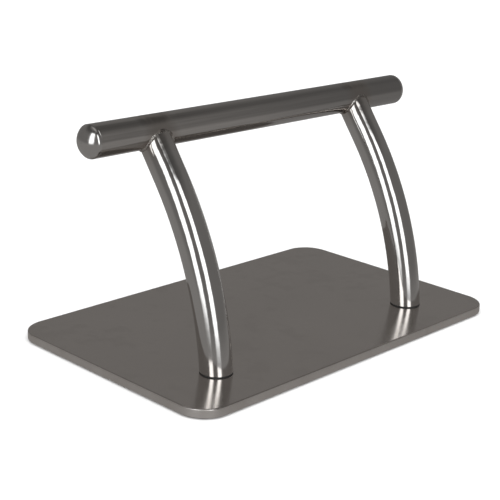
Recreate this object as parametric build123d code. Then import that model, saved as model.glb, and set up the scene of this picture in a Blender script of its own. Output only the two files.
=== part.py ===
"""Free-standing steel footrest: a foot bar on two bent legs, bolted to a heavy flat base plate.

Millimetres. +X runs along the bar, +Y from the legs' feet towards the bar, +Z up.
The origin is on the floor, under the middle of the base plate.
"""

import os
from math import atan2, cos, degrees, radians, sin

from build123d import *

# Base plate
PLATE_LENGTH = 400.0
PLATE_WIDTH = 250.0
PLATE_THICKNESS = 8.0
PLATE_CORNER_RADIUS = 26.5
PLATE_TOP_ROUND = 1.2
PLATE_BOTTOM_BREAK = 0.5

# Rubber pads under the plate
PAD_DIAMETER = 30.0
PAD_THICKNESS = 1.5
PAD_EDGE_ROUND = 0.5
PAD_INSET = 34.0

# Bent leg tubes. Each centreline leans back at the foot, bends, and runs straight to the bar.
TUBE_RADIUS = 14.75
TUBE_WALL = 1.5
LEG_SPACING = 263.0
LEG_FOOT_Y = -69.5
LEG_FOOT_LEAN = 5.8
LEG_BEND_RADIUS = 325.0
LEG_BEND_ANGLE = 30.6
LEG_TOP_STRAIGHT = 43.5
LEG_FOOT_BREAK = 0.4

# Foot bar and its end caps
BAR_TUBE_LENGTH = 394.0
CAP_DOME_HEIGHT = 10.5
CAP_RIM = 1.0
CAP_SHOULDER_RADIUS = 4.0
CAP_WALL = 1.5
CAP_SPIGOT_LENGTH = 12.0
CAP_SPIGOT_CLEARANCE = 0.05
CAP_JOINT_BREAK = 0.15

# Joint of each leg and the bar: the leg's hollowed end has its two thin ears cut off, this far
# below the bar's axis, and the weld covers the seam and fills the space over the ears.
EAR_CUT = 7.5
WELD_THICKNESS = 1.2

# Black washer, threaded plug and screw at each leg's foot
WASHER_THICKNESS = 0.8
WASHER_BORE = 12.0
PLUG_HEIGHT = 20.0
PLUG_CLEARANCE = 0.02
THREAD_CLEARANCE = 0.05
SCREW_DIAMETER = 10.0
SCREW_LENGTH = 25.0
SCREW_HEAD_DIAMETER = 20.0
SCREW_HEAD_RIM = 0.3
SCREW_HEAD_RECESS = 0.2
SCREW_SOCKET_WIDTH = 6.0
SCREW_SOCKET_DEPTH = 3.5
SCREW_TIP_CHAMFER = 1.0
SCREW_HOLE_DIAMETER = 11.0
SCREW_SEAT_GAP = 0.02

PLATE_BOTTOM_Z = PAD_THICKNESS
PLATE_TOP_Z = PLATE_BOTTOM_Z + PLATE_THICKNESS
LEG_FOOT_Z = PLATE_TOP_Z + WASHER_THICKNESS
LEG_TOP_LEAN = LEG_FOOT_LEAN + LEG_BEND_ANGLE
SIDES = {"left": -1, "right": 1}
ENDS = {"front": -1, "rear": 1}


def leg_direction(lean):
    """Unit vector up along a leg where it leans back by this many degrees."""
    return Vector(0, sin(radians(lean)), cos(radians(lean)))


def bend_point(lean):
    """Point of the legs' bend, in the middle plane, where it leans by this many degrees."""
    y = LEG_BEND_RADIUS * (cos(radians(LEG_FOOT_LEAN)) - cos(radians(lean)))
    z = LEG_BEND_RADIUS * (sin(radians(lean)) - sin(radians(LEG_FOOT_LEAN)))
    return Vector(0, LEG_FOOT_Y + y, PLATE_TOP_Z + z)


BAR_CENTRE = bend_point(LEG_TOP_LEAN) + leg_direction(LEG_TOP_LEAN) * LEG_TOP_STRAIGHT


def leg_place(side):
    return Pos(SIDES[side] * LEG_SPACING / 2, 0, 0)


def foot_place(side):
    return leg_place(side) * Pos(0, LEG_FOOT_Y, 0)


def round_leg(radius):
    """Solid round bar along the legs' centreline, in the middle plane.

    It runs from below the plate's top, through the bend, to the foot bar's axis.
    """
    foot = bend_point(LEG_FOOT_LEAN)
    middle = bend_point((LEG_FOOT_LEAN + LEG_TOP_LEAN) / 2)
    top = bend_point(LEG_TOP_LEAN)
    below = foot - leg_direction(LEG_FOOT_LEAN) * PLATE_THICKNESS
    path = Line(below, foot) + ThreePointArc(foot, middle, top) + Line(top, BAR_CENTRE)
    return sweep(Plane(path @ 0, z_dir=path % 0) * Circle(radius), path=path)


def round_bar(radius):
    return Pos(BAR_CENTRE) * Rot(0, 90, 0) * Cylinder(radius, BAR_TUBE_LENGTH)


def slab(z_low, z_high):
    """Block that covers the plate's area between two heights."""
    block = Box(PLATE_LENGTH, PLATE_WIDTH, z_high - z_low)
    return Pos(0, 0, (z_low + z_high) / 2) * block


def base_plate():
    outline = RectangleRounded(PLATE_LENGTH, PLATE_WIDTH, PLATE_CORNER_RADIUS)
    plate = Pos(0, 0, PLATE_BOTTOM_Z) * extrude(outline, PLATE_THICKNESS)
    plate = fillet(plate.faces().sort_by(Axis.Z)[-1].edges(), PLATE_TOP_ROUND)
    plate = chamfer(plate.faces().sort_by(Axis.Z)[0].edges(), PLATE_BOTTOM_BREAK)
    hole_radius = SCREW_HOLE_DIAMETER / 2
    mouth_radius = SCREW_HEAD_DIAMETER / 2 + SCREW_HEAD_RECESS + SCREW_HEAD_RIM
    sink_depth = mouth_radius - hole_radius
    hole = Pos(0, 0, PLATE_BOTTOM_Z) * Cylinder(hole_radius, 3 * PLATE_THICKNESS)
    sink = Pos(0, 0, PLATE_BOTTOM_Z + sink_depth / 2) * Cone(mouth_radius, hole_radius, sink_depth)
    for side in SIDES:
        plate -= foot_place(side) * (hole + sink)
    return plate


def rubber_pad(side, end):
    x = SIDES[side] * (PLATE_LENGTH / 2 - PAD_INSET)
    y = ENDS[end] * (PLATE_WIDTH / 2 - PAD_INSET)
    pad = Cylinder(PAD_DIAMETER / 2, PAD_THICKNESS)
    pad = fillet(pad.edges().sort_by(Axis.Z)[0], PAD_EDGE_ROUND)
    return Pos(x, y, PAD_THICKNESS / 2) * pad


def beyond(distance):
    """Block round the bar that cuts a leg's end off this far below the bar's axis."""
    size = 4 * TUBE_RADIUS
    plane = Plane(BAR_CENTRE, z_dir=leg_direction(LEG_TOP_LEAN))
    return plane * Pos(0, 0, size / 2 - distance) * Box(size, size, size)


def leg_tube(side):
    """Bent tube, cut flat at its foot and hollowed at its top to fit round the bar."""
    tube = round_leg(TUBE_RADIUS) - round_leg(TUBE_RADIUS - TUBE_WALL)
    tube -= round_bar(TUBE_RADIUS)
    tube -= beyond(EAR_CUT)
    tube -= slab(0, LEG_FOOT_Z)
    rim = tube.faces().sort_by(Axis.Z)[0].outer_wire().edges()
    return leg_place(side) * chamfer(rim, LEG_FOOT_BREAK)


def leg_plug(side):
    """Steel plug fixed inside the leg's foot, with a threaded bore for the screw."""
    plug = round_leg(TUBE_RADIUS - TUBE_WALL - PLUG_CLEARANCE)
    plug &= slab(LEG_FOOT_Z, LEG_FOOT_Z + PLUG_HEIGHT)
    bore = Pos(0, LEG_FOOT_Y, LEG_FOOT_Z) * Cylinder(
        SCREW_DIAMETER / 2 + THREAD_CLEARANCE, 3 * PLUG_HEIGHT
    )
    return leg_place(side) * (plug - bore)


def foot_washer(side):
    ring = Circle(TUBE_RADIUS) - Circle(WASHER_BORE / 2)
    return foot_place(side) * Pos(0, 0, PLATE_TOP_Z) * extrude(ring, WASHER_THICKNESS)


def leg_screw(side):
    """Countersunk hex-socket screw, driven up through the plate into the leg's plug."""
    shank = SCREW_DIAMETER / 2
    head = SCREW_HEAD_DIAMETER / 2
    face_z = PLATE_BOTTOM_Z + SCREW_HEAD_RECESS - SCREW_SEAT_GAP
    rim_z = face_z + SCREW_HEAD_RIM
    tip_z = face_z + SCREW_LENGTH
    profile = Polyline(
        (0, face_z),
        (head, face_z),
        (head, rim_z),
        (shank, rim_z + head - shank),
        (shank, tip_z - SCREW_TIP_CHAMFER),
        (shank - SCREW_TIP_CHAMFER, tip_z),
        (0, tip_z),
        close=True,
    )
    screw = revolve(Plane.XZ * make_face(profile), Axis.Z)
    hexagon = RegularPolygon(SCREW_SOCKET_WIDTH / 2, 6, major_radius=False)
    socket = Pos(0, 0, face_z) * extrude(hexagon, SCREW_SOCKET_DEPTH)
    return foot_place(side) * (screw - socket)


def bar_tube():
    tube = round_bar(TUBE_RADIUS) - round_bar(TUBE_RADIUS - TUBE_WALL)
    outer_rims = tube.edges().filter_by(GeomType.CIRCLE).sort_by(SortBy.RADIUS)[-2:]
    return chamfer(outer_rims, CAP_JOINT_BREAK)


def bar_end_cap(side):
    """Domed cap: its rim meets the bar's end, and its hollow spigot sits inside the tube.

    It is drawn about the Z axis with the joint at z = 0, then laid along the bar. The dome is a
    tight shoulder arc that turns into a wide crown arc.
    """
    spigot = TUBE_RADIUS - TUBE_WALL - CAP_SPIGOT_CLEARANCE
    rise = CAP_DOME_HEIGHT - CAP_RIM
    flat = TUBE_RADIUS - CAP_SHOULDER_RADIUS
    crown_radius = (flat**2 + rise**2 - CAP_SHOULDER_RADIUS**2) / (2 * (rise - CAP_SHOULDER_RADIUS))
    shoulder_turn = degrees(atan2(crown_radius - rise, flat))
    shoulder = JernArc((TUBE_RADIUS, CAP_RIM), (0, 1), CAP_SHOULDER_RADIUS, shoulder_turn)
    crown = JernArc(shoulder @ 1, shoulder % 1, crown_radius, 90 - shoulder_turn)
    body = Polyline(
        crown @ 1,
        (0, -CAP_SPIGOT_LENGTH),
        (spigot, -CAP_SPIGOT_LENGTH),
        (spigot, 0),
        (TUBE_RADIUS - CAP_JOINT_BREAK, 0),
        (TUBE_RADIUS, CAP_JOINT_BREAK),
        (TUBE_RADIUS, CAP_RIM),
    )
    cap = revolve(Plane.XZ * make_face(shoulder + crown + body), Axis.Z)
    cap -= Pos(0, 0, -CAP_SPIGOT_LENGTH / 2) * Cylinder(spigot - CAP_WALL, CAP_SPIGOT_LENGTH)
    joint = Pos(SIDES[side] * BAR_TUBE_LENGTH / 2, BAR_CENTRE.Y, BAR_CENTRE.Z)
    return joint * Rot(0, SIDES[side] * 90, 0) * cap


def weld_bead(side):
    """Ring of weld round the seam: within the weld's thickness of both the leg and the bar."""
    bead = round_leg(TUBE_RADIUS + WELD_THICKNESS) - beyond(EAR_CUT - 2 * WELD_THICKNESS)
    bead &= round_bar(TUBE_RADIUS + WELD_THICKNESS)
    bead -= round_leg(TUBE_RADIUS) - beyond(EAR_CUT)
    bead -= round_bar(TUBE_RADIUS)
    return leg_place(side) * bead


def write(shape, node):
    shape.label = node
    export_step(shape, f"parts/{node}.step")


def main():
    os.makedirs("parts", exist_ok=True)
    write(base_plate(), "base_plate")
    write(bar_tube(), "bar_tube")
    for side in SIDES:
        write(leg_tube(side), f"{side}_leg_tube")
        write(leg_plug(side), f"{side}_leg_threaded_plug")
        write(leg_screw(side), f"{side}_leg_screw")
        write(foot_washer(side), f"{side}_foot_washer")
        write(weld_bead(side), f"{side}_weld_bead")
        write(bar_end_cap(side), f"{side}_bar_end_cap")
        for end in ENDS:
            write(rubber_pad(side, end), f"{end}_{side}_rubber_pad")


main()
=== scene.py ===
"""Looks of the free-standing steel footrest: camera, studio, stainless-steel finishes, welds."""

from math import cos, degrees, pi, radians, sin

import bpy
from mathutils import Matrix, Vector, noise


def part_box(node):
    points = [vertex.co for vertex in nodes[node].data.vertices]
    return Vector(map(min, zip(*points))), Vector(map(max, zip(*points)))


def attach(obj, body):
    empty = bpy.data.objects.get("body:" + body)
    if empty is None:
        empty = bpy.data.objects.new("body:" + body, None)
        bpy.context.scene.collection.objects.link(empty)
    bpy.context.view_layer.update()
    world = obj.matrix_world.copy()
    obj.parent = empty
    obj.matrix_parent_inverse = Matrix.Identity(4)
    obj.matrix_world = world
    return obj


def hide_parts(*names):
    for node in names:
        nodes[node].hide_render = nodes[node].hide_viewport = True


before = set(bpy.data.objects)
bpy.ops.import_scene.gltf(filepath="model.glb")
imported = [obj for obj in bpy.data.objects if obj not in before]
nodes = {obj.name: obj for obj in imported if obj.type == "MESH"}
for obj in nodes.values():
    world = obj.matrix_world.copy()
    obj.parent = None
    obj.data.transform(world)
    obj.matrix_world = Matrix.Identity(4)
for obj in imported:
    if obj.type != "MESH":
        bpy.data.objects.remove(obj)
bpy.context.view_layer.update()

# --- Camera ---------------------------------------------------------------------------------

CAMERA_AZIMUTH = radians(-46.21)
CAMERA_ELEVATION = radians(17.85)
CAMERA_ROLL = radians(2.09)
CAMERA_DISTANCE = 1.2250
CAMERA_AIM = Vector((0.0045, 0.0260, 0.0674))
CAMERA_LENS = 91.15


def add_camera():
    """Camera on its stand, turned a little about its own line of sight."""
    back = Vector((
        sin(CAMERA_AZIMUTH) * cos(CAMERA_ELEVATION),
        -cos(CAMERA_AZIMUTH) * cos(CAMERA_ELEVATION),
        sin(CAMERA_ELEVATION),
    ))
    level = Vector((0, 0, 1)).cross(back).normalized()
    right = Matrix.Rotation(CAMERA_ROLL, 3, back) @ level
    up = back.cross(right)
    data = bpy.data.cameras.new("camera")
    data.lens = CAMERA_LENS
    camera = bpy.data.objects.new("camera", data)
    axes = Matrix((right, up, back)).transposed().to_4x4()
    camera.matrix_world = Matrix.Translation(CAMERA_AIM + back * CAMERA_DISTANCE) @ axes
    bpy.context.scene.collection.objects.link(camera)
    bpy.context.scene.camera = camera


# --- Node helpers ---------------------------------------------------------------------------


class Graph:
    """A node tree with short calls for the nodes that the materials share."""

    def __init__(self, tree):
        self.tree = tree

    def node(self, kind, **settings):
        made = self.tree.nodes.new(kind)
        for name, value in settings.items():
            setattr(made, name, value)
        return made

    def feed(self, socket, value):
        if isinstance(value, bpy.types.NodeSocket):
            self.tree.links.new(value, socket)
        elif value is not None:
            socket.default_value = value

    def math(self, operation, *values, clamp=False):
        made = self.node("ShaderNodeMath", operation=operation, use_clamp=clamp)
        for socket, value in zip(made.inputs, values):
            self.feed(socket, value)
        return made.outputs[0]

    def fade(self, value, start, end, low=0.0, high=1.0):
        """Smooth change from low to high as value goes from start to end."""
        made = self.node("ShaderNodeMapRange", interpolation_type="SMOOTHSTEP")
        for socket, given in zip(made.inputs, (value, start, end, low, high)):
            self.feed(socket, given)
        return made.outputs[0]

    def noise(self, vector, scale, detail=2.0, roughness=0.5):
        made = self.node("ShaderNodeTexNoise")
        self.feed(made.inputs["Vector"], vector)
        self.feed(made.inputs["Scale"], scale)
        self.feed(made.inputs["Detail"], detail)
        self.feed(made.inputs["Roughness"], roughness)
        return made.outputs["Fac"]

    def combine(self, x, y, z):
        made = self.node("ShaderNodeCombineXYZ")
        for socket, value in zip(made.inputs, (x, y, z)):
            self.feed(socket, value)
        return made.outputs[0]

    def separate(self, vector):
        made = self.node("ShaderNodeSeparateXYZ")
        self.feed(made.inputs[0], vector)
        return made.outputs

    def stretch(self, vector, x, y, z):
        """Each of the vector's parts times its own factor."""
        parts = self.separate(vector)
        return self.combine(*(self.math("MULTIPLY", p, f) for p, f in zip(parts, (x, y, z))))

    def vector(self, operation, *values):
        made = self.node("ShaderNodeVectorMath", operation=operation)
        for socket, value in zip(made.inputs, values):
            self.feed(socket, value)
        return made.outputs[0]

    def tint(self, value, colour):
        """A grey value times a colour."""
        return self.vector("MULTIPLY", self.combine(value, value, value), colour)

    def mix(self, factor, first, second):
        made = self.node("ShaderNodeMix", data_type="RGBA")
        self.feed(made.inputs["Factor"], factor)
        self.feed(made.inputs[6], first)
        self.feed(made.inputs[7], second)
        return made.outputs[2]

    def bump(self, height, distance, strength=1.0, normal=None):
        made = self.node("ShaderNodeBump")
        self.feed(made.inputs["Height"], height)
        self.feed(made.inputs["Distance"], distance)
        self.feed(made.inputs["Strength"], strength)
        self.feed(made.inputs["Normal"], normal)
        return made.outputs[0]


# --- Studio ---------------------------------------------------------------------------------

# Azimuths turn from +Y towards +X. The angles of the room and its panels are in degrees.
CAMERA_SIDE = -180 - degrees(CAMERA_AZIMUTH)
# Brightness of the room's walls, ceiling and table, the same all round
WALL = 0.18
CEILING = 0.32
TABLE = 0.27
# The elevations between which the table turns into wall, the wall dims to a share of itself,
# and the ceiling starts
TABLE_EDGE = (-13, 1)
WALL_DIMS = (32, 55)
WALL_DIMMED = 0.45
CEILING_STARTS = (55, 85)
# Two equal soft panels stand either side of the camera, and a low glow lies behind the object:
# azimuth, elevation, half width, half height, softness across and upright, brightness
PANEL_TURN = 27
PANELS = (
    (CAMERA_SIDE - PANEL_TURN, 22, 12, 26, 9, 18, 2.4),
    (CAMERA_SIDE + PANEL_TURN, 22, 12, 26, 9, 18, 2.4),
    (CAMERA_SIDE + 180, -4, 26, 4, 12, 12, 0.45),
)
# Colours of the walls and table, and of the panels' daylight
WALL_TINT = (1.0, 0.975, 0.955)
PANEL_TINT = (0.95, 0.98, 1.0)
# The panels end at this elevation, over this softness, and spill this share of light above it
PANEL_TOP = 46
PANEL_TOP_SOFT = 5
PANEL_SPILL = 0.12

# The wide light from above: how wide it looks, its strength and its tilt
KEY_ANGLE = radians(100)
KEY_STRENGTH = 3.3
KEY_TILT = (radians(14), radians(-10), 0)

FLOOR_HALF = 40.0


def window(g, value, middle, half, soft):
    """1 within half of middle, fading to 0 over the soft edge. Angles in degrees, value in radians."""
    off = g.math("SUBTRACT", value, radians(middle))
    off = g.math("WRAP", off, -pi, pi)
    off = g.math("ABSOLUTE", off)
    return g.fade(off, radians(half - soft / 2), radians(half + soft / 2), 1.0, 0.0)


def patch(g, azimuth, elevation, spec):
    """Soft-edged bright patch, from one of the rows above."""
    middle, lift, half_width, half_height, soft_across, soft_upright, brightness = spec
    across = window(g, azimuth, middle, half_width, soft_across)
    upright = window(g, elevation, lift, half_height, soft_upright)
    return g.math("MULTIPLY", g.math("MULTIPLY", across, upright), brightness)


def build_world():
    """The room round the object: table, walls, ceiling and soft panels."""
    world = bpy.data.worlds.new("studio")
    world.use_nodes = True
    bpy.context.scene.world = world
    g = Graph(world.node_tree)
    background = world.node_tree.nodes["Background"]
    direction = g.node("ShaderNodeTexCoord").outputs["Generated"]
    x, y, z = g.separate(direction)
    azimuth = g.math("ARCTAN2", x, y)
    elevation = g.math("ARCSINE", z)
    wall = g.fade(elevation, *map(radians, WALL_DIMS), WALL, WALL_DIMMED * WALL)
    light = g.fade(elevation, *map(radians, TABLE_EDGE), TABLE, wall)
    ceiling = g.fade(elevation, *map(radians, CEILING_STARTS), 0.0, CEILING)
    light = g.math("ADD", light, ceiling)
    glow = 0.0
    for panel in PANELS:
        glow = g.math("ADD", glow, patch(g, azimuth, elevation, panel))
    top_start = radians(PANEL_TOP - PANEL_TOP_SOFT / 2)
    top_end = radians(PANEL_TOP + PANEL_TOP_SOFT / 2)
    glow = g.math("MULTIPLY", glow, g.fade(elevation, top_start, top_end, 1.0, PANEL_SPILL))
    warm = g.tint(light, WALL_TINT)
    cool = g.tint(glow, PANEL_TINT)
    g.feed(background.inputs["Color"], g.vector("ADD", warm, cool))


def add_key_light():
    """Wide soft light from above. It lights the floor evenly and is left out of the gloss."""
    data = bpy.data.lights.new("key", "SUN")
    data.angle = KEY_ANGLE
    data.energy = KEY_STRENGTH
    light = bpy.data.objects.new("key", data)
    light.rotation_euler = KEY_TILT
    light.visible_glossy = False
    bpy.context.scene.collection.objects.link(light)


def add_floor():
    """Plain pale floor, left out of the gloss."""
    half = FLOOR_HALF
    corners = [(-half, -half, 0), (half, -half, 0), (half, half, 0), (-half, half, 0)]
    mesh = bpy.data.meshes.new("floor")
    mesh.from_pydata(corners, [], [(0, 1, 2, 3)])
    floor = bpy.data.objects.new("floor", mesh)
    bpy.context.scene.collection.objects.link(floor)
    floor.visible_glossy = False
    material, g, shader = new_material("pale_floor")
    shader.inputs["Base Color"].default_value = (0.92, 0.92, 0.92, 1)
    shader.inputs["Roughness"].default_value = 0.9
    shader.inputs["Specular IOR Level"].default_value = 0.0
    mesh.materials.append(material)


# --- Shapes ---------------------------------------------------------------------------------

TUBE_RADIUS = 0.01475
TUBE_WALL = 0.0015
LEG_SPACING = 0.263
LEG_FOOT_Y = -0.0695
LEG_FOOT_LEAN = radians(5.8)
LEG_BEND_RADIUS = 0.325
LEG_BEND_ANGLE = radians(30.6)
LEG_TOP_STRAIGHT = 0.0435
LEG_FOOT_BREAK = 0.0004
EAR_CUT = 0.0075
SIDES = {"left": -1, "right": 1}

PLATE_BOTTOM_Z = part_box("base_plate")[0][2]
PLATE_TOP_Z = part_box("base_plate")[1][2]
LEG_FOOT_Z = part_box("left_foot_washer")[1][2]
LEG_TOP_LEAN = LEG_FOOT_LEAN + LEG_BEND_ANGLE
BEND_LENGTH = LEG_BEND_RADIUS * LEG_BEND_ANGLE
LEG_LENGTH = BEND_LENGTH + LEG_TOP_STRAIGHT


def leg_point(along, radius, turn):
    """Point at this distance along a leg's axis from the plate, turned round it from +X to +Y."""
    bent = min(max(along, 0.0), BEND_LENGTH)
    lean = LEG_FOOT_LEAN + bent / LEG_BEND_RADIUS
    y = LEG_FOOT_Y + LEG_BEND_RADIUS * (cos(LEG_FOOT_LEAN) - cos(lean))
    z = PLATE_TOP_Z + LEG_BEND_RADIUS * (sin(lean) - sin(LEG_FOOT_LEAN))
    y += (along - bent) * sin(lean) + radius * sin(turn) * cos(lean)
    z += (along - bent) * cos(lean) - radius * sin(turn) * sin(lean)
    return Vector((radius * cos(turn), y, z))


BAR_CENTRE = leg_point(LEG_LENGTH, 0, 0)
HEIGHT_SEARCH = (-0.01, 0.05)
HEIGHT_SEARCH_STEPS = 40


def along_at_height(z, radius, turn):
    """Distance along the leg's axis at which its surface passes this height."""
    low, high = HEIGHT_SEARCH
    for _ in range(HEIGHT_SEARCH_STEPS):
        middle = (low + high) / 2
        if leg_point(middle, radius, turn).z < z:
            low = middle
        else:
            high = middle
    return low


def seam_depth(turn):
    """Distance below the bar's axis at which a leg's outside ends."""
    return max(TUBE_RADIUS * abs(cos(turn)), EAR_CUT)


def add_grid(name, rows, closed_rows):
    """Smooth mesh over rows of points. Each row is a ring; closed_rows joins the last to the first."""
    around = len(rows[0])
    count = len(rows)
    mesh = bpy.data.meshes.new(name)
    faces = []
    for j in range(count if closed_rows else count - 1):
        k = (j + 1) % count
        for i in range(around):
            n = (i + 1) % around
            faces.append((j * around + i, j * around + n, k * around + n, k * around + i))
    mesh.from_pydata([p for row in rows for p in row], [], faces)
    mesh.shade_smooth()
    piece = bpy.data.objects.new(name, mesh)
    bpy.context.scene.collection.objects.link(piece)
    return piece


LEG_AROUND = 128
LEG_ROWS = 96


def build_leg(side):
    """Bent tube with its wall: the outside from foot to joint, then back down the inside."""
    turns = [2 * pi * i / LEG_AROUND for i in range(LEG_AROUND)]
    inner = TUBE_RADIUS - TUBE_WALL
    middle = Vector((SIDES[side] * LEG_SPACING / 2, 0, 0))
    ends = [LEG_LENGTH - seam_depth(turn) for turn in turns]

    def rows_of(radius, foot_z, shares):
        starts = [along_at_height(foot_z, radius, turn) for turn in turns]
        return [
            [
                leg_point(start + (end - start) * share, radius, turn) + middle
                for turn, start, end in zip(turns, starts, ends)
            ]
            for share in shares
        ]

    shares = [k / LEG_ROWS for k in range(LEG_ROWS + 1)]
    rows = rows_of(TUBE_RADIUS - LEG_FOOT_BREAK, LEG_FOOT_Z, (0,))
    rows += rows_of(TUBE_RADIUS, LEG_FOOT_Z + LEG_FOOT_BREAK, shares)
    rows += rows_of(inner, LEG_FOOT_Z, shares[::-1])
    leg = add_grid(f"{side}_leg", rows, True)
    leg.data.set_sharp_from_angle(angle=radians(35))
    return leg


WELD_AROUND = 360
WELD_ROWS = 14
WELD_TOE = 0.0016
# How deep both toes lie below the tubes' surfaces
WELD_SINK = 0.00012
WELD_TOP_ANGLE = radians(70)
# The bead's height, and shares of it: everywhere, more at the front and back, and at random
WELD_BULGE = 0.00045
BULGE_EVEN = 0.8
BULGE_ENDS = 0.5
BULGE_DRIFT = 0.5
# Slow random drift round the seam, and the shares by which it moves the toes
DRIFT_RATE = 3.1
DRIFT_SEED = 4.7
TOE_DRIFT = 0.45
TOP_DRIFT = 0.05
# Ripples: height, number round the seam, how far they curve, and how uneven they are
WELD_RIPPLE = 0.00006
WELD_RIPPLES = 46
RIPPLE_CURVE = 2.2
RIPPLE_DRIFT = 1.4
RIPPLE_FINE = 1.2
FINE_ROUND = 9
FINE_ACROSS = 3
FINE_SEED = 11.3
# Powers that round the seam's corner off and fill the bead out near its toes
SEAM_POWER = 8
BEAD_POWER = 0.8


def on_bar(x, angle, radius):
    """Point on a tube about the bar's axis, angle measured from the leg's side."""
    below = Vector((0, -sin(LEG_TOP_LEAN), -cos(LEG_TOP_LEAN)))
    front = Vector((0, cos(LEG_TOP_LEAN), -sin(LEG_TOP_LEAN)))
    return BAR_CENTRE + (below * cos(angle) + front * sin(angle)) * radius + Vector((x, 0, 0))


def weld_point(hand, turn, share):
    """Point on a bead at this turn round the leg, from its toe on the leg to its toe on the bar."""
    drift = noise.noise(Vector((cos(turn) * DRIFT_RATE, sin(turn) * DRIFT_RATE, DRIFT_SEED * hand)))
    fine = noise.noise(Vector((turn * FINE_ROUND, share * FINE_ACROSS, FINE_SEED * hand)))
    toe = WELD_TOE * (1 + TOE_DRIFT * drift)
    cope = TUBE_RADIUS * abs(cos(turn))
    depth = (cope**SEAM_POWER + EAR_CUT**SEAM_POWER) ** (1 / SEAM_POWER) + toe
    low = leg_point(LEG_LENGTH - depth, TUBE_RADIUS - WELD_SINK, turn)
    top_angle = WELD_TOP_ANGLE * sin(turn) * (1 + TOP_DRIFT * drift)
    high = on_bar((TUBE_RADIUS + toe) * cos(turn), top_angle, TUBE_RADIUS - WELD_SINK)
    leg_out = leg_point(LEG_LENGTH, 1, turn) - BAR_CENTRE
    bar_out = Vector((0, high.y - BAR_CENTRE.y, high.z - BAR_CENTRE.z)).normalized()
    out = (leg_out + bar_out).normalized()
    phase = WELD_RIPPLES * turn + RIPPLE_CURVE * (2 * share - 1) ** 2 + RIPPLE_DRIFT * drift
    rise = WELD_BULGE * (BULGE_EVEN + BULGE_ENDS * abs(sin(turn)) + BULGE_DRIFT * drift)
    rise += WELD_RIPPLE * (sin(phase) + RIPPLE_FINE * fine)
    middle = Vector((hand * LEG_SPACING / 2, 0, 0))
    return low.lerp(high, share) + out * rise * sin(pi * share) ** BEAD_POWER + middle


def build_weld(side):
    """Dressed weld round the seam: from a toe on the leg, over a low bulge, to a toe on the bar."""
    turns = [2 * pi * i / WELD_AROUND for i in range(WELD_AROUND)]
    shares = [k / WELD_ROWS for k in range(WELD_ROWS + 1)]
    rows = [[weld_point(SIDES[side], turn, share) for turn in turns] for share in shares]
    return add_grid(f"{side}_weld", rows, False)


# --- Materials ------------------------------------------------------------------------------


def new_material(name):
    material = bpy.data.materials.new(name)
    material.use_nodes = True
    g = Graph(material.node_tree)
    shader = material.node_tree.nodes["Principled BSDF"]
    return material, g, shader


def place(g):
    """Position on the object, in metres."""
    return g.node("ShaderNodeTexCoord").outputs["Object"]


def dress(piece, material):
    piece.data.materials.clear()
    piece.data.materials.append(material)


def steel(name):
    material, g, shader = new_material(name)
    shader.inputs["Metallic"].default_value = 1.0
    return material, g, shader, place(g)


def from_bar_axis(g, where):
    """How far back and up from the bar's axis a point lies, in metres."""
    _, y, z = g.separate(where)
    return g.math("SUBTRACT", y, BAR_CENTRE.y), g.math("SUBTRACT", z, BAR_CENTRE.z)


def bar_gap(g, where):
    """Distance of a point outside the bar, in metres."""
    back, up = from_bar_axis(g, where)
    off = g.math("SQRT", g.math("MULTIPLY_ADD", back, back, g.math("MULTIPLY", up, up)))
    return g.math("SUBTRACT", off, TUBE_RADIUS)


def leg_gap(g, where):
    """Distance of a point outside the nearer leg's straight top, in metres."""
    back, up = from_bar_axis(g, where)
    aside = g.math("SUBTRACT", g.math("ABSOLUTE", g.separate(where)[0]), LEG_SPACING / 2)
    across = g.math("MULTIPLY", back, cos(LEG_TOP_LEAN))
    across = g.math("MULTIPLY_ADD", up, -sin(LEG_TOP_LEAN), across)
    off = g.math("SQRT", g.math("MULTIPLY_ADD", aside, aside, g.math("MULTIPLY", across, across)))
    return g.math("SUBTRACT", off, TUBE_RADIUS)


def plate_steel():
    """Satin top with fine lengthwise lines and faint smudges, and a duller ground side face."""
    material, g, shader, where = steel("satin_plate_steel")
    lines = g.noise(g.stretch(where, 10, 700, 700), 1.0, 2, 0.5)
    cloud = g.noise(where, 9.0, 3, 0.5)
    stain = g.noise(where, 38.0, 3, 0.6)
    tone = g.math("ADD", g.math("MULTIPLY", lines, 0.25), g.math("MULTIPLY", cloud, 0.75))
    colour = g.mix(tone, (0.67, 0.626, 0.590, 1), (0.77, 0.721, 0.683, 1))
    smudge = g.fade(stain, 0.36, 0.46, 0.30, 0.0)
    colour = g.mix(smudge, colour, (0.63, 0.586, 0.551, 1))
    height = g.separate(where)[2]
    below_top = g.fade(height, PLATE_TOP_Z - 0.0008, PLATE_TOP_Z - 0.0002, 1.0, 0.0)
    above_bottom = g.fade(height, PLATE_BOTTOM_Z, PLATE_BOTTOM_Z + 0.0004)
    side_face = g.math("MULTIPLY", below_top, above_bottom)
    side_colour = g.mix(stain, (0.64, 0.592, 0.555, 1), (0.84, 0.803, 0.772, 1))
    g.feed(shader.inputs["Base Color"], g.mix(side_face, colour, side_colour))
    roughness = g.fade(cloud, 0.3, 0.7, 0.16, 0.20)
    g.feed(shader.inputs["Roughness"], g.math("MULTIPLY_ADD", side_face, 0.24, roughness))
    g.feed(shader.inputs["Normal"], g.bump(lines, 0.00001, 0.3))
    return material


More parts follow.
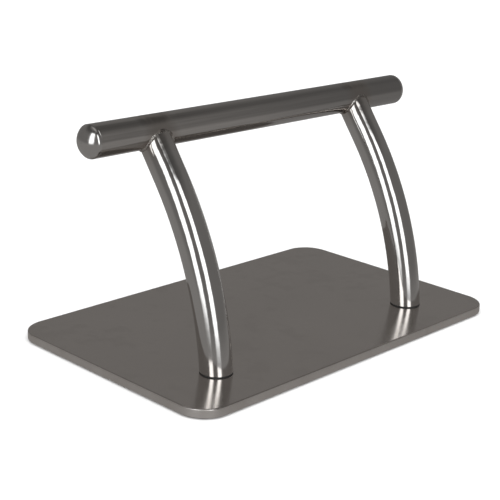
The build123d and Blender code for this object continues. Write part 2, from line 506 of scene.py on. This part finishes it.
def bar_steel():
    """Brushed lengthwise, with a brown heat tint and small dents near the welds."""
    material, g, shader, where = steel("brushed_bar_steel")
    lines = g.noise(g.stretch(where, 8, 600, 600), 1.0, 3, 0.6)
    streaks = g.noise(g.stretch(where, 14, 190, 190), 1.0, 2, 0.5)
    blotch = g.noise(where, 42.0, 3, 0.5)
    heat = g.fade(g.math("MULTIPLY_ADD", blotch, 0.006, leg_gap(g, where)), 0.002, 0.014, 1.0, 0.0)
    tone = g.math("ADD", g.math("MULTIPLY", lines, 0.55), g.math("MULTIPLY", streaks, 0.45))
    colour = g.mix(g.fade(tone, 0.3, 0.7), (0.55, 0.525, 0.505, 1), (0.67, 0.643, 0.618, 1))
    # Painted shade: the bar's colour darkens towards its right end, standing in for a darker
    # reflection there
    painted_shade_right_end = g.fade(g.separate(where)[0], -0.18, 0.20, 0.0, 0.85)
    colour = g.mix(painted_shade_right_end, colour, (0.36, 0.350, 0.342, 1))
    colour = g.mix(g.math("MULTIPLY", heat, 0.55), colour, (0.38, 0.335, 0.30, 1))
    g.feed(shader.inputs["Base Color"], colour)
    g.feed(shader.inputs["Roughness"], g.fade(tone, 0.3, 0.7, 0.07, 0.12))
    dents = g.math("MULTIPLY", g.noise(where, 60.0, 2, 0.5), heat)
    normal = g.bump(dents, 0.0014, 0.5)
    waves = g.noise(g.stretch(where, 12, 110, 110), 1.0, 2, 0.5)
    normal = g.bump(waves, 0.00025, 0.5, normal)
    g.feed(shader.inputs["Normal"], g.bump(tone, 0.00003, 0.4, normal))
    return material


def leg_steel():
    """Hand polished, slightly wavy, rougher low down, with a heat tint near the weld."""
    material, g, shader, where = steel("polished_leg_steel")
    cloud = g.noise(where, 30.0, 3, 0.5)
    streaks = g.noise(g.stretch(where, 330, 70, 30), 1.0, 1, 0.4)
    heat = g.fade(g.math("MULTIPLY_ADD", cloud, 0.010, bar_gap(g, where)), 0.004, 0.026, 1.0, 0.0)
    colour = g.mix(cloud, (0.56, 0.542, 0.525, 1), (0.66, 0.642, 0.625, 1))
    colour = g.mix(g.math("MULTIPLY", heat, 0.5), colour, (0.44, 0.39, 0.35, 1))
    g.feed(shader.inputs["Base Color"], colour)
    height = g.separate(where)[2]
    low = g.fade(height, PLATE_TOP_Z, 0.11, 0.07, 0.0)
    g.feed(shader.inputs["Roughness"], g.math("ADD", g.fade(cloud, 0.3, 0.7, 0.045, 0.080), low))
    dents = g.math("MULTIPLY", g.noise(where, 80.0, 2, 0.5), heat)
    normal = g.bump(dents, 0.0008, 0.5)
    waves = g.noise(g.stretch(where, 90, 90, 45), 1.0, 2, 0.5)
    normal = g.bump(waves, 0.00030, 0.5, normal)
    g.feed(shader.inputs["Normal"], g.bump(streaks, 0.00006, 0.5, normal))
    return material


def weld_steel():
    material, g, shader, where = steel("dressed_weld_steel")
    blotch = g.noise(where, 190.0, 3, 0.6)
    grain = g.noise(where, 900.0, 3, 0.6)
    colour = g.mix(g.fade(blotch, 0.35, 0.65), (0.27, 0.24, 0.215, 1), (0.54, 0.51, 0.48, 1))
    g.feed(shader.inputs["Base Color"], colour)
    g.feed(shader.inputs["Roughness"], g.fade(blotch, 0.3, 0.7, 0.13, 0.30))
    g.feed(shader.inputs["Normal"], g.bump(grain, 0.00008, 0.6))
    return material


def cap_steel():
    material, g, shader, where = steel("polished_cap_steel")
    cloud = g.noise(where, 60.0, 3, 0.5)
    dents = g.noise(where, 52.0, 1, 0.4)
    colour = g.mix(cloud, (0.58, 0.562, 0.545, 1), (0.67, 0.652, 0.635, 1))
    g.feed(shader.inputs["Base Color"], colour)
    g.feed(shader.inputs["Roughness"], g.fade(cloud, 0.3, 0.7, 0.10, 0.15))
    g.feed(shader.inputs["Normal"], g.bump(dents, 0.0016, 0.6))
    return material


def turned_steel(name):
    material, g, shader, where = steel(name)
    grain = g.noise(where, 1200.0, 3, 0.6)
    colour = g.mix(grain, (0.42, 0.41, 0.40, 1), (0.56, 0.55, 0.54, 1))
    g.feed(shader.inputs["Base Color"], colour)
    g.feed(shader.inputs["Roughness"], g.fade(grain, 0.3, 0.7, 0.22, 0.36))
    g.feed(shader.inputs["Normal"], g.bump(grain, 0.00002, 0.4))
    return material


def rubber(name):
    material, g, shader = new_material(name)
    grain = g.noise(place(g), 1800.0, 2, 0.6)
    colour = g.mix(grain, (0.012, 0.012, 0.012, 1), (0.030, 0.030, 0.030, 1))
    g.feed(shader.inputs["Base Color"], colour)
    g.feed(shader.inputs["Roughness"], g.fade(grain, 0.3, 0.7, 0.55, 0.75))
    g.feed(shader.inputs["Normal"], g.bump(grain, 0.00005, 0.6))
    return material


add_camera()
build_world()
add_key_light()
add_floor()

plate_finish = plate_steel()
bar_finish = bar_steel()
leg_finish = leg_steel()
weld_finish = weld_steel()
cap_finish = cap_steel()
screw_finish = turned_steel("plain_screw_steel")
pad_finish = rubber("pad_rubber")

dress(nodes["base_plate"], plate_finish)
dress(nodes["bar_tube"], bar_finish)
for side in SIDES:
    leg = build_leg(side)
    dress(leg, leg_finish)
    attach(leg, "root")
    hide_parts(f"{side}_leg_tube")
    weld = build_weld(side)
    dress(weld, weld_finish)
    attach(weld, "root")
    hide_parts(f"{side}_weld_bead")
    dress(nodes[f"{side}_bar_end_cap"], cap_finish)
    dress(nodes[f"{side}_foot_washer"], pad_finish)
    dress(nodes[f"{side}_leg_threaded_plug"], screw_finish)
    dress(nodes[f"{side}_leg_screw"], screw_finish)
    for end in ("front", "rear"):
        dress(nodes[f"{end}_{side}_rubber_pad"], pad_finish)

bpy.context.scene.view_settings.view_transform = "Standard"
